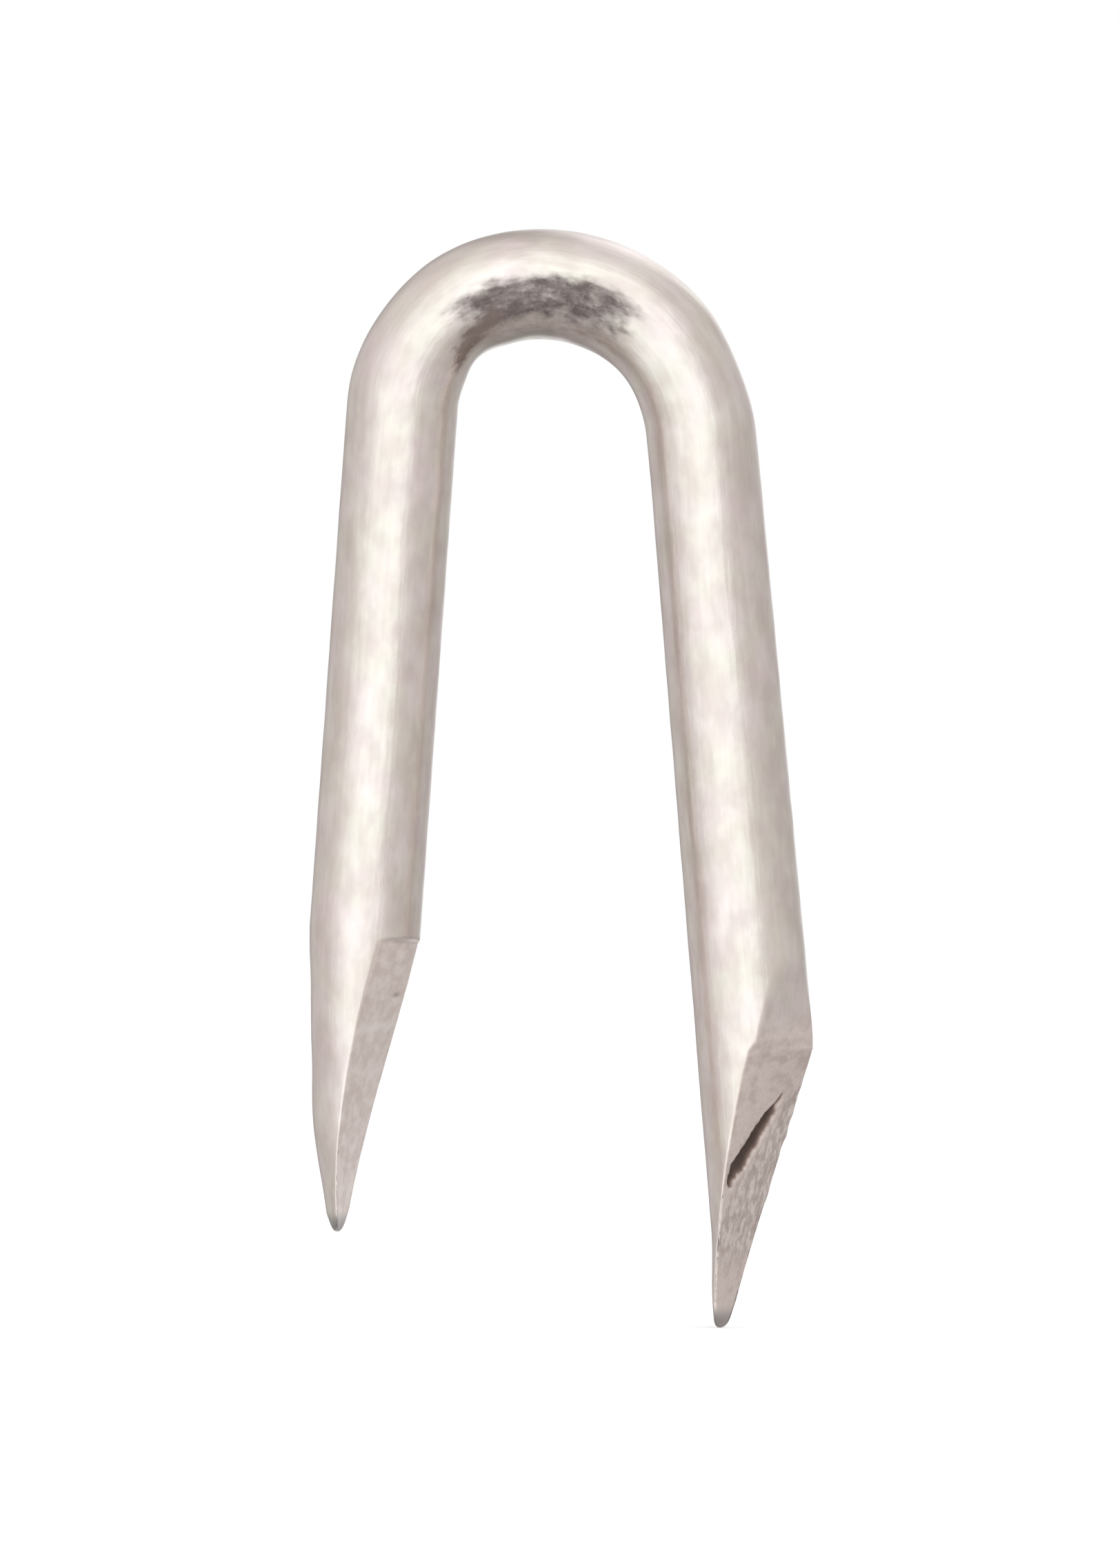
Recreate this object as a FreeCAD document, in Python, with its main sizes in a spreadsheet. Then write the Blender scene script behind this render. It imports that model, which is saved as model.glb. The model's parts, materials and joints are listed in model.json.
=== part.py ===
import FreeCAD, Part
import os
import Sketcher
from FreeCAD import Placement, Rotation, Vector
from math import asin, cos, degrees, radians, sin

# Wire fence staple: one length of round wire, bent to a U and shear-cut to two points.
#
# Frame: millimetres, +Z up, crown on top and points down. The U lies in the XZ plane.
# The origin is the highest point of the crown's inside, where the fence wire seats, running along Y.
# +X is towards the longer leg. Both cut faces look towards +X and are turned a little to -Y.

SIZES = {
    "wire_diameter": 4.0,
    # Crown: one main bend, and a tighter one where it meets the left leg. Radii are the centre line's.
    "crown_radius": 5.8,
    "shoulder_radius": 4.8,
    "shoulder_start": 105.9,  # degrees round the crown from +X, where the tighter bend takes over
    # Legs: each splays outwards, and the left one curls back in near its point.
    "left_lean": 4.07,  # degrees from upright
    "left_straight": 19.5,
    "left_curl_radius": 33.0,
    "left_curl_turn": 20.0,  # degrees
    "right_lean": 4.62,  # degrees from upright
    "right_straight": 33.2,
    # Cut faces: slightly hollow. Depths are measured down from the origin.
    "left_face_depth": 26.6,  # where the face crosses the wire's centre line
    "left_face_slant": 15.3,  # degrees from upright at that crossing
    "left_face_turn": 19.7,  # degrees from +X towards -Y
    "left_face_radius": 39.0,
    "left_point_depth": 32.25,  # where the point is blunted
    "right_face_depth": 28.8,
    "right_face_slant": 13.4,
    "right_face_turn": 28.1,
    "right_face_radius": 142.0,
    "right_point_depth": 35.75,
    # How far the removed metal's outline reaches beside and above each crossing.
    "cut_reach": 5.0,
    "cut_rise": 8.5,
}

START, END, CENTRE = 1, 2, 3  # numbers of a line's or an arc's own points
ORIGIN = (-1, 1)  # the sketch's origin, as a geometry number and a point number
UPRIGHT_AXIS = -2  # the sketch's own y axis, as a geometry number
ACROSS = Vector(0, 0, 1)  # normal of a sketch, in its own axes


def add_size_sheet(doc):
    """Put the driving dimensions in a spreadsheet, one named cell each."""
    sheet = doc.addObject("Spreadsheet::Sheet", "Sizes")
    for row, (name, value) in enumerate(SIZES.items(), start=1):
        sheet.set(f"A{row}", name)
        sheet.set(f"B{row}", str(value))
        sheet.setAlias(f"B{row}", name)
    doc.recompute()


def polar(radius, angle):
    """Point at this distance and angle, in degrees from a sketch's +x."""
    return Vector(radius * cos(radians(angle)), radius * sin(radians(angle)), 0)


def arc(centre, radius, from_angle, to_angle):
    circle = Part.Circle(centre, ACROSS, radius)
    return Part.ArcOfCircle(circle, radians(from_angle), radians(to_angle))


def new_sketch(body, name, support, mode):
    sketch = body.newObject("Sketcher::SketchObject", name)
    sketch.AttachmentSupport = [support]
    sketch.MapMode = mode
    return sketch


def upright_sketch(body, name):
    """New sketch on the plane of the U: its x is +X and its y is +Z."""
    plane = next(p for p in body.Origin.OriginFeatures if p.Role == "XZ_Plane")
    return new_sketch(body, name, (plane, ""), "FlatFace")


def relate(sketch, kind, *geometry):
    sketch.addConstraint(Sketcher.Constraint(kind, *geometry))


def drive(sketch, name, expression, kind, *geometry):
    """Add a named dimension and bind it to the size sheet. The last number is its first value."""
    index = sketch.addConstraint(Sketcher.Constraint(kind, *geometry))
    sketch.renameConstraint(index, name)
    sketch.setExpression(f"Constraints.{name}", expression)
    return index


def add_face_mark(sketch, side, wire_edge, place):
    """Mark where a cut face crosses the wire's centre line, and let its distance sideways follow."""
    mark = sketch.addGeometry(Part.Point(place), True)
    relate(sketch, "PointOnObject", mark, START, wire_edge)
    depth = f"Sizes.{side}_face_depth"
    drive(sketch, f"{side}_face_depth", depth, "DistanceY", mark, START, *ORIGIN, -place.y)
    sideways = sketch.addConstraint(Sketcher.Constraint("DistanceX", *ORIGIN, mark, START, place.x))
    sketch.setDriving(sideways, False)
    sketch.renameConstraint(sideways, f"{side}_face_x")


def wire_path(body):
    """Centre line of the wire, from the right leg's foot over the crown to the left leg's curl."""
    crown_radius = SIZES["crown_radius"]
    shoulder_radius = SIZES["shoulder_radius"]
    shoulder_start = SIZES["shoulder_start"]
    curl_radius = SIZES["left_curl_radius"]
    curl_turn = SIZES["left_curl_turn"]
    right_lean = SIZES["right_lean"]
    left_lean = SIZES["left_lean"]
    left_end = 180 - left_lean  # where the shoulder bend runs into the left leg
    crown_drop = crown_radius - SIZES["wire_diameter"] / 2

    crown_centre = Vector(0, -crown_drop, 0)
    right_top = crown_centre + polar(crown_radius, right_lean)
    right_foot = right_top + polar(SIZES["right_straight"], right_lean - 90)
    shoulder_top = crown_centre + polar(crown_radius, shoulder_start)
    shoulder_centre = shoulder_top - polar(shoulder_radius, shoulder_start)
    left_top = shoulder_centre + polar(shoulder_radius, left_end)
    left_foot = left_top + polar(SIZES["left_straight"], left_end + 90)
    curl_centre = left_foot + polar(curl_radius, left_end + 180)
    right_mark = right_top + polar(SIZES["right_face_depth"] + right_top.y, right_lean - 90)
    left_mark = left_foot + polar(SIZES["left_face_depth"] + left_foot.y, left_end + 90)

    sketch = upright_sketch(body, "WirePath")
    right_leg = sketch.addGeometry(Part.LineSegment(right_foot, right_top), False)
    crown = sketch.addGeometry(arc(crown_centre, crown_radius, right_lean, shoulder_start), False)
    shoulder = sketch.addGeometry(arc(shoulder_centre, shoulder_radius, shoulder_start, left_end), False)
    left_leg = sketch.addGeometry(Part.LineSegment(left_foot, left_top), False)
    curl = sketch.addGeometry(arc(curl_centre, curl_radius, left_end, left_end + curl_turn), False)
    spoke = sketch.addGeometry(Part.LineSegment(crown_centre, shoulder_top), True)

    relate(sketch, "PointOnObject", crown, CENTRE, UPRIGHT_AXIS)
    relate(sketch, "Tangent", right_leg, END, crown, START)
    relate(sketch, "Tangent", crown, END, shoulder, START)
    relate(sketch, "Tangent", shoulder, END, left_leg, END)
    relate(sketch, "Tangent", left_leg, START, curl, START)
    relate(sketch, "Coincident", spoke, START, crown, CENTRE)
    relate(sketch, "Coincident", spoke, END, crown, END)

    inside_radius = "Sizes.crown_radius - Sizes.wire_diameter / 2"
    shoulder_angle = "Sizes.shoulder_start * 1 deg"
    right_angle = "(90 + Sizes.right_lean) * 1 deg"
    left_angle = "(90 - Sizes.left_lean) * 1 deg"
    turn_angle = "Sizes.left_curl_turn * 1 deg"
    drive(sketch, "crown_drop", inside_radius, "DistanceY", crown, CENTRE, *ORIGIN, crown_drop)
    drive(sketch, "crown_radius", "Sizes.crown_radius", "Radius", crown, crown_radius)
    drive(sketch, "shoulder_radius", "Sizes.shoulder_radius", "Radius", shoulder, shoulder_radius)
    drive(sketch, "curl_radius", "Sizes.left_curl_radius", "Radius", curl, curl_radius)
    drive(sketch, "shoulder_start", shoulder_angle, "Angle", spoke, radians(shoulder_start))
    drive(sketch, "right_lean", right_angle, "Angle", right_leg, radians(90 + right_lean))
    drive(sketch, "left_lean", left_angle, "Angle", left_leg, radians(90 - left_lean))
    drive(sketch, "curl_turn", turn_angle, "Angle", curl, radians(curl_turn))
    drive(sketch, "right_straight", "Sizes.right_straight", "Distance", right_leg, SIZES["right_straight"])
    drive(sketch, "left_straight", "Sizes.left_straight", "Distance", left_leg, SIZES["left_straight"])
    add_face_mark(sketch, "right", right_leg, right_mark)
    add_face_mark(sketch, "left", curl, left_mark)
    return sketch


def wire_section(body, path):
    """Round section of the wire, square to the path at the right leg's foot."""
    sketch = new_sketch(body, "WireSection", (path, "Edge1"), "NormalToEdge")
    sketch.MapPathParameter = 0
    radius = SIZES["wire_diameter"] / 2
    circle = sketch.addGeometry(Part.Circle(Vector(), ACROSS, radius), False)
    relate(sketch, "Coincident", circle, CENTRE, *ORIGIN)
    drive(sketch, "diameter", "Sizes.wire_diameter", "Diameter", circle, 2 * radius)
    return sketch


def bent_wire(body):
    path = wire_path(body)
    body.Document.recompute()
    section = wire_section(body, path)
    body.Document.recompute()
    wire = body.newObject("PartDesign::AdditivePipe", "BentWire")
    wire.Profile = (section, [""])
    wire.Spine = (path, [""])
    body.Document.recompute()


def cut_outline(body, side):
    """Outline of the metal sheared off one leg, seen square to the cut.

    The sketch stands upright where the face crosses the wire's centre line, turned so that its x
    looks straight out of the face. The arc is the face, and the level line below it blunts the point.
    """
    slant = SIZES[f"{side}_face_slant"]
    radius = SIZES[f"{side}_face_radius"]
    point_drop = SIZES[f"{side}_point_depth"] - SIZES[f"{side}_face_depth"]
    reach = SIZES["cut_reach"]
    rise = SIZES["cut_rise"]

    sketch = upright_sketch(body, f"{side.title()}CutOutline")
    turned = Rotation(Vector(0, -1, 0), SIZES[f"{side}_face_turn"])
    sketch.AttachmentOffset = Placement(Vector(0, -SIZES[f"{side}_face_depth"], 0), turned)
    sketch.setExpression("AttachmentOffset.Base.x", f"WirePath.Constraints.{side}_face_x")
    sketch.setExpression("AttachmentOffset.Base.y", f"-Sizes.{side}_face_depth")
    sketch.setExpression("AttachmentOffset.Rotation.Angle", f"Sizes.{side}_face_turn")

    centre = polar(radius, -slant)
    top_angle = 180 - degrees(asin((rise - centre.y) / radius))
    point_angle = 180 - degrees(asin((-point_drop - centre.y) / radius))
    face_arc = arc(centre, radius, top_angle, point_angle)
    corners = [
        face_arc.EndPoint,
        Vector(-reach, -point_drop, 0),
        Vector(-reach, -point_drop - reach, 0),
        Vector(reach, -point_drop - reach, 0),
        Vector(reach, rise, 0),
        face_arc.StartPoint,
    ]
    face = sketch.addGeometry(face_arc, False)
    lines = [sketch.addGeometry(Part.LineSegment(a, b), False) for a, b in zip(corners, corners[1:])]
    spoke = sketch.addGeometry(Part.LineSegment(Vector(), centre), True)

    relate(sketch, "Coincident", face, END, lines[0], START)
    for line, following in zip(lines, lines[1:]):
        relate(sketch, "Coincident", line, END, following, START)
    relate(sketch, "Coincident", lines[-1], END, face, START)
    for number, line in enumerate(lines):
        relate(sketch, "Vertical" if number % 2 else "Horizontal", line)
    relate(sketch, "PointOnObject", *ORIGIN, face)
    relate(sketch, "Coincident", spoke, START, *ORIGIN)
    relate(sketch, "Coincident", spoke, END, face, CENTRE)

    drop = f"Sizes.{side}_point_depth - Sizes.{side}_face_depth"
    drive(sketch, "face_radius", f"Sizes.{side}_face_radius", "Radius", face, radius)
    drive(sketch, "slant", f"-Sizes.{side}_face_slant * 1 deg", "Angle", spoke, radians(-slant))
    drive(sketch, "point_drop", drop, "DistanceY", face, END, *ORIGIN, point_drop)
    drive(sketch, "rise", "Sizes.cut_rise", "DistanceY", *ORIGIN, face, START, rise)
    drive(sketch, "behind", "Sizes.cut_reach", "DistanceX", lines[0], END, *ORIGIN, reach)
    drive(sketch, "below", "Sizes.cut_reach", "DistanceY", lines[1], END, lines[1], START, reach)
    drive(sketch, "in_front", "Sizes.cut_reach", "DistanceX", *ORIGIN, lines[3], END, reach)
    return sketch


def shear_cut(body, side):
    """Cut one leg to its point, and make sure that metal came off."""
    before = body.Shape.Volume
    outline = cut_outline(body, side)
    body.Document.recompute()
    cut = body.newObject("PartDesign::Pocket", f"{side.title()}Cut")
    cut.Profile = outline
    cut.Type = "Length"
    cut.SideType = "Symmetric"
    cut.setExpression("Length", "2 * Sizes.cut_reach")
    body.Tip = cut
    body.Document.recompute()
    if body.Shape.Volume >= before:
        raise RuntimeError(f"the {side} cut removed nothing")


def staple_wire(doc):
    body = doc.addObject("PartDesign::Body", "StapleWire")
    body.Label = "staple_wire"
    bent_wire(body)
    shear_cut(body, "left")
    shear_cut(body, "right")
    return body


def check(doc, bodies):
    """Stop before anything is written if an object failed or a sub-part isn't one sound solid."""
    for item in doc.Objects:
        if "Invalid" in item.State or "Error" in item.State:
            raise RuntimeError(f"{item.Name} failed: {item.State}")
        if item.TypeId == "Sketcher::SketchObject" and not item.FullyConstrained:
            raise RuntimeError(f"{item.Name} isn't fully constrained")
    for body in bodies:
        if body.Shape.isNull() or not body.Shape.isValid() or len(body.Shape.Solids) != 1:
            raise RuntimeError(f"{body.Label} isn't one valid solid")


def write(bodies):
    os.makedirs("parts", exist_ok=True)
    for body in bodies:
        body.Shape.exportStep(f"parts/{body.Label}.step")
        box = body.Shape.optimalBoundingBox(False, False)
        print(f"{body.Label}: {box.XLength:.2f} x {box.YLength:.2f} x {box.ZLength:.2f} mm")


document = FreeCAD.newDocument("fence_staple")
add_size_sheet(document)
sub_parts = [staple_wire(document)]
document.recompute()
check(document, sub_parts)
write(sub_parts)
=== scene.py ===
import json
from math import acos, atan2, cos, pi, radians, sin

import bpy
import numpy as np
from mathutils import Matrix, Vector, noise


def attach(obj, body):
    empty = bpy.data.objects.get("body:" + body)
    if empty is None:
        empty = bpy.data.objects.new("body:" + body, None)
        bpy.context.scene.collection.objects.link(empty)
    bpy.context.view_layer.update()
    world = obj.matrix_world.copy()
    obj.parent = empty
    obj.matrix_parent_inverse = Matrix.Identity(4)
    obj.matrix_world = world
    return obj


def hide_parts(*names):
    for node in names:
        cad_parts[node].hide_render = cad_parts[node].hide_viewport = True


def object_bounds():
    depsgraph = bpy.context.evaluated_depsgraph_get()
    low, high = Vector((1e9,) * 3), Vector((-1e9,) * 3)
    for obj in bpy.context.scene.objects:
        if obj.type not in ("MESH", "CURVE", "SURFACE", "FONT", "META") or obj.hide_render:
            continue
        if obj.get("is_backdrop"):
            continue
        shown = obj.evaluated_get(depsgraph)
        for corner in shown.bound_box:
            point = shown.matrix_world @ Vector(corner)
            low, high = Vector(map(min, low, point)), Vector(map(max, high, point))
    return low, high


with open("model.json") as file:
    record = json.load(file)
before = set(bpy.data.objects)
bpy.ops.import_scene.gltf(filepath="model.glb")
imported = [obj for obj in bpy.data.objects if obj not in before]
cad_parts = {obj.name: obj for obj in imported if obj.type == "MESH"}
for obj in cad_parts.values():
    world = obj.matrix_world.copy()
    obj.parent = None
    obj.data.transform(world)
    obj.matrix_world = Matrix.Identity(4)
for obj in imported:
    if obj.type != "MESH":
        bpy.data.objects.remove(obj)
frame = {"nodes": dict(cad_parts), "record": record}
cad_low, cad_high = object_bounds()

# A galvanised fence staple: one bent and shear-cut length of wire.
#
# The CAD part gives the wire, its bends and its two points. This script builds the same wire again as
# a dense mesh of rings, with the marks that bending and shearing leave, and gives it a zinc finish.
# All lengths below are in millimetres. A place on the wire is given by three numbers:
#   along  - distance along the centre line from the crown's top, + towards the right leg
#   theta  - angle round the wire, 0 away from the U's inside, 90 towards the front (-Y)
#   out, front - the same place across the wire, as two distances from the centre line
MM = 0.001
NODE = "staple_wire"
MOUNTS = {mount["name"]: mount for mount in frame["record"]["mounts"]}
WIRE_RADIUS = MOUNTS["right_leg"]["dims"]["r_mm"]


# ---------------------------------------------------------------- centre line

SHOULDER_RADIUS = 4.8  # of the tighter bend between crown and left leg
CURL_RADIUS = 33.0  # of the left leg's slow curl towards its point
CURL_TURN = radians(20)
FOOT_SPARE = 1.0  # how far the right leg's path runs on below its point
DEPTH_SAMPLES = 2000  # places tried when looking for a depth on the path


def leg_line(name):
    """A leg's wall in the XZ plane, from the record: its middle, direction downwards and length."""
    mount = MOUNTS[name]
    middle = np.array([mount["pos_m"][0], mount["pos_m"][2]]) / MM
    down = np.array([mount["axis"][0], mount["axis"][2]])
    return middle, down / np.hypot(*down), mount["dims"]["length_mm"]


def heading_point(angle):
    return np.array([cos(angle), sin(angle)])


class CentreLine:
    """The wire's path, walked clockwise from the left point over the crown to the right point."""

    def __init__(self):
        left_middle, left_down, left_length = leg_line("left_leg")
        right_middle, right_down, right_length = leg_line("right_leg")
        right_out = np.array([-right_down[1], right_down[0]])
        left_out = np.array([left_down[1], -left_down[0]])
        right_angle = atan2(right_out[1], right_out[0])
        left_angle = atan2(left_out[1], left_out[0])

        # The crown's bend touches the origin from above, and the right leg runs straight out of it.
        drop = (right_out @ right_middle - WIRE_RADIUS) / (1 - right_out[1])
        crown_radius = drop + WIRE_RADIUS
        crown_centre = np.array([0, -drop])
        # The shoulder bend runs out of the crown's and into the left leg.
        reach = left_out @ (left_middle - crown_centre) - SHOULDER_RADIUS
        shoulder_angle = left_angle - acos(reach / (crown_radius - SHOULDER_RADIUS))
        left_foot = left_middle + left_down * left_length / 2
        curl_centre = left_foot - CURL_RADIUS * left_out
        right_top = crown_centre + crown_radius * right_out
        right_foot = right_middle + right_down * right_length / 2

        self.bends = [
            (CURL_RADIUS * CURL_TURN, 1 / CURL_RADIUS),
            (left_length, 0.0),
            (SHOULDER_RADIUS * (left_angle - shoulder_angle), 1 / SHOULDER_RADIUS),
            (crown_radius * (shoulder_angle - right_angle), 1 / crown_radius),
            (float(np.hypot(*(right_foot - right_top))) + FOOT_SPARE, 0.0),
        ]
        starts = np.concatenate([[0], np.cumsum([length for length, _ in self.bends])])
        crown_top = starts[3] + crown_radius * (shoulder_angle - pi / 2)
        self.starts = starts - crown_top
        self.first_point = curl_centre + CURL_RADIUS * heading_point(left_angle + CURL_TURN)
        self.first_heading = left_angle + CURL_TURN - pi / 2

    def __call__(self, along):
        """Points on the path, and the direction away from the U's inside there, each (n, 2)."""
        along = np.asarray(along, float)
        points = np.zeros((len(along), 2))
        headings = np.zeros(len(along))
        point, heading = self.first_point, self.first_heading
        for number, (length, curvature) in enumerate(self.bends):
            is_last = number == len(self.bends) - 1
            here = (along >= self.starts[number]) | (number == 0)
            step = along[here] - self.starts[number]
            turned = heading - curvature * step
            points[here] = point + walk(step, heading, turned, curvature)
            headings[here] = turned
            if not is_last:
                end = heading - curvature * length
                point = point + walk(np.array([length]), heading, np.array([end]), curvature)[0]
                heading = end
        return points, np.stack([-np.sin(headings), np.cos(headings)], 1)

    def along_at_depth(self, side, depth):
        """Where the centre line of one leg is this far below the origin."""
        low, high = self.starts[[0, 2]] if side == "left" else self.starts[[4, 5]]
        samples = np.linspace(low, high, DEPTH_SAMPLES)
        heights = self(samples)[0][:, 1]
        return float(samples[np.argmin(np.abs(heights + depth))])


def walk(step, heading, turned, curvature):
    """Steps along a straight, or along a clockwise bend, as (n, 2) shifts."""
    if curvature == 0:
        return step[:, None] * heading_point(heading)
    across = np.sin(heading) - np.sin(turned)
    up = np.cos(turned) - np.cos(heading)
    return np.stack([across, up], 1) / curvature


path = CentreLine()
LEFT_FOOT, LEFT_TOP, SHOULDER_TOP, RIGHT_TOP = path.starts[1:5]


# ---------------------------------------------------------------- section of the wire

def smooth_step(low, high, value):
    share = np.clip((value - low) / (high - low), 0, 1)
    return share * share * (3 - 2 * share)


def bump(value, middle, half_width):
    """1 in the middle, falling smoothly to 0 at half_width away."""
    return smooth_step(1, 0, np.abs(value - middle) / half_width)


def smooth_min(a, b, width):
    """Smaller of two distances, with the corner between them rounded over this width."""
    share = np.clip(0.5 + 0.5 * (b - a) / width, 0, 1)
    return b + (a - b) * share - width * share * (1 - share)


SWELLING = 0.28  # how far the right leg's outer side has been pushed out where it was sheared
SWELLING_LENGTH = 21.6
SIDE_POWER = 1.5  # how quickly what was done to the outer or inner side fades round the wire


def drawn_radius(along, theta):
    """Distance from the centre line to the drawn surface, which bending pressed out of round."""
    outer = np.maximum(np.cos(theta), 0) ** SIDE_POWER
    inner = np.maximum(-np.cos(theta), 0) ** SIDE_POWER
    swelling = SWELLING * np.clip((along - RIGHT_TOP) / SWELLING_LENGTH, 0, 1)
    shoulder_flat = 0.07 * bump(along, SHOULDER_TOP - 3.2, 2.2)
    crown_flat = 0.13 * bump(along, RIGHT_TOP - 1.7, 2.2)
    curl_flat = 0.165 * smooth_step(3.7, 1.0, np.abs(along - LEFT_FOOT + 2.85))
    left_flare = 0.06 * smooth_step(LEFT_FOOT - 8.3, LEFT_FOOT - 9.8, along)
    right_flare = 0.18 * smooth_step(RIGHT_TOP + 28.7, RIGHT_TOP + 32.0, along)
    shoulder_dent = 0.17 * bump(along, SHOULDER_TOP - 2.2, 2.2)
    crown_dent = 0.06 * bump(along, RIGHT_TOP - 3.8, 3.2)
    squeeze = 0.04 * smooth_step(RIGHT_TOP - 2.0, RIGHT_TOP + 2.0, along)
    fullness = 0.03 * smooth_step(SHOULDER_TOP - 3.5, LEFT_TOP, along)
    away_from_u = swelling + left_flare - shoulder_flat - crown_flat - curl_flat
    towards_u = fullness + right_flare - shoulder_dent - crown_dent - squeeze
    return WIRE_RADIUS + away_from_u * outer + towards_u * inner


NOSE = 1.1  # length of the rounded end of a point
NOSE_SPARE = 0.10  # it ends this far below the CAD part's sharper point
FACET_ROUNDING = 0.5  # width over which two facets of a cut run into each other


def point_height(side):
    """Lowest place of one point, from the CAD node's own corners."""
    corners = [vertex.co for vertex in frame["nodes"][NODE].data.vertices]
    is_left = side == "left"
    return min(corner.z for corner in corners if (corner.x < 0) == is_left) / MM - NOSE_SPARE


class Facet:
    """One flat or slowly twisting face of a cut, seen across the wire.

    Heights are taken from the cut's crossing with the centre line. plane(height) gives how far the
    face stands off from the centre line and the angle it looks along. ledge(height) is added to that
    distance where the cut ran out.
    """

    def __init__(self, plane, ledge):
        self.plane = plane
        self.ledge = ledge


def chord(reach, front_angle, radius):
    """Plane of a flat between its two long edges: one behind, seen this far out, and one in front."""
    back_angle = -np.arccos(np.clip(reach / radius, -1, 1))
    front_angle = np.radians(np.minimum(front_angle, 180))
    across_out = WIRE_RADIUS * np.cos(front_angle) - radius * np.cos(back_angle)
    across_front = WIRE_RADIUS * np.sin(front_angle) - radius * np.sin(back_angle)
    turn = np.arctan2(-across_out, across_front)
    off = np.cos(turn) * radius * np.cos(back_angle) + np.sin(turn) * radius * np.sin(back_angle)
    return blunted(off), turn


class Cut:
    """The shear cut on one leg: its crossing with the centre line, its facets and where it faces."""

    def __init__(self, side, crossing_depth, facets, aim):
        self.side = side
        self.crossing = path.along_at_depth(side, crossing_depth)
        self.tip = path.along_at_depth(side, -point_height(side))
        self.down = 1 if side == "right" else -1
        self.facets = facets
        self.aim = aim

    def height(self, along):
        return (self.crossing - along) * self.down

    def direction(self, turn):
        """Angle round the wire that a face turned this far to the front looks along."""
        return turn if self.side == "right" else pi - turn

    def room(self, along, out, front):
        """Distance from a place to the nearest facet, positive in the metal."""
        height = self.height(along)
        room = None
        for facet in self.facets:
            off, turn = facet.plane(height)
            direction = self.direction(turn)
            one = off + facet.ledge(height) - out * np.cos(direction) - front * np.sin(direction)
            room = one if room is None else smooth_min(room, one, FACET_ROUNDING)
        return room


THINNEST = 0.12  # of the sliver of metal left at a point
THINNING_WIDTH = 0.1


def blunted(off):
    """Keep a face from running out through the back of the wire."""
    return -smooth_min(-off, WIRE_RADIUS - THINNEST, THINNING_WIDTH)


def no_ledge(height):
    return 0 * height


LEFT_FACE_TOP = 6.0  # a face's shape is held above its top, where its ledge has already ended it
RIGHT_FACE_TOP = 4.0
BURNISH_START = 3.0  # height where the burnished flat runs into the right face
BURNISH_BEND = 2.5  # its slope eases over this height


def left_plane(height):
    """The left face twists and curves a little towards the point."""
    height = np.minimum(height, LEFT_FACE_TOP)
    reach = 0.62 + 0.360 * height - 0.0145 * height ** 2 - 0.0009 * height ** 3
    front_angle = 108.3 - 7.3 * height + 0.22 * np.maximum(-height, 0) ** 2
    return chord(reach, front_angle, WIRE_RADIUS)


def right_plane(height):
    """The right face is straight behind and twists in front, across the swollen outer side."""
    height = np.minimum(height, RIGHT_FACE_TOP)
    reach = 1.080 + 0.3965 * height
    radius = WIRE_RADIUS + SWELLING * np.clip(reach / (WIRE_RADIUS + SWELLING), 0, 1) ** SIDE_POWER
    return chord(reach, 118.0 - 9.2 * height, radius)


def burnish_plane(height):
    """The smooth flat above the right face, where the blade first pressed in."""
    above = height - BURNISH_START
    off = 1.46 + 0.26 * above - 0.015 * np.clip(above, 0, BURNISH_BEND) ** 2
    return off, radians(46) + 0 * height


LEFT_FACE = Facet(left_plane, lambda height: 0.7 * smooth_step(5.07, 5.35, height))
RIGHT_FACE = Facet(right_plane, lambda height: 0.9 * smooth_step(3.1, 3.9, height))
RIGHT_BURNISH = Facet(burnish_plane, no_ledge)
LEFT_CUT = Cut("left", 26.83, [LEFT_FACE], radians(22))
RIGHT_CUT = Cut("right", 28.92, [RIGHT_BURNISH, RIGHT_FACE], radians(34))


# ---------------------------------------------------------------- rings of the mesh

ARC_COLUMNS = 70  # vertices of a ring on the drawn surface
FACE_COLUMNS = 58  # vertices of a ring on, or above, the cut face
COLUMNS = ARC_COLUMNS + FACE_COLUMNS
EDGE_ROUNDING = 0.10
CUT_SPACING = 0.075  # of the rings on the cuts
LEG_SPACING = 0.28
BEND_SPACING = 0.13
HALVINGS = 30  # steps of each search by halving


def crowded(count, crowding):
    """Shares from 0 to 1, closer together near both ends."""
    share = np.linspace(0, 1, count)
    return share - crowding * np.sin(2 * pi * share) / (2 * pi)


def stretch_of_rings(start, end, spacing):
    count = max(2, int(round(abs(end - start) / spacing)))
    return np.linspace(start, end, count, endpoint=False)


def ring_places():
    """Where the rings are along the wire: close together on the cuts, further apart on the legs."""
    left_cut_end = LEFT_FOOT + 1.0
    right_cut_start = RIGHT_CUT.crossing - 7.6
    right_end = RIGHT_CUT.tip - NOSE
    return np.concatenate([
        stretch_of_rings(LEFT_CUT.tip + NOSE, left_cut_end, CUT_SPACING),
        stretch_of_rings(left_cut_end, LEFT_TOP, LEG_SPACING),
        stretch_of_rings(LEFT_TOP, RIGHT_TOP, BEND_SPACING),
        stretch_of_rings(RIGHT_TOP, right_cut_start, LEG_SPACING),
        stretch_of_rings(right_cut_start, right_end, CUT_SPACING),
        [right_end],
    ])


def facing(along):
    """Angle round the wire that the face columns are centred on."""
    left = LEFT_CUT.direction(LEFT_CUT.aim)
    right = RIGHT_CUT.direction(RIGHT_CUT.aim)
    return left + (right - left) * smooth_step(LEFT_TOP, RIGHT_TOP, along)


def cut_room(along, out, front):
    """Room to the cut of whichever leg this place is on."""
    left = LEFT_CUT.room(along, out, front)
    right = RIGHT_CUT.room(along, out, front)
    return np.where(along < 0, left, right)


def inside(along, out, front, rounding):
    """Distance to the wire's surface, positive in the metal."""
    theta = np.arctan2(front, out)
    round_room = drawn_radius(along, theta) - np.hypot(out, front)
    return smooth_min(round_room, cut_room(along, out, front), rounding)


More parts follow.
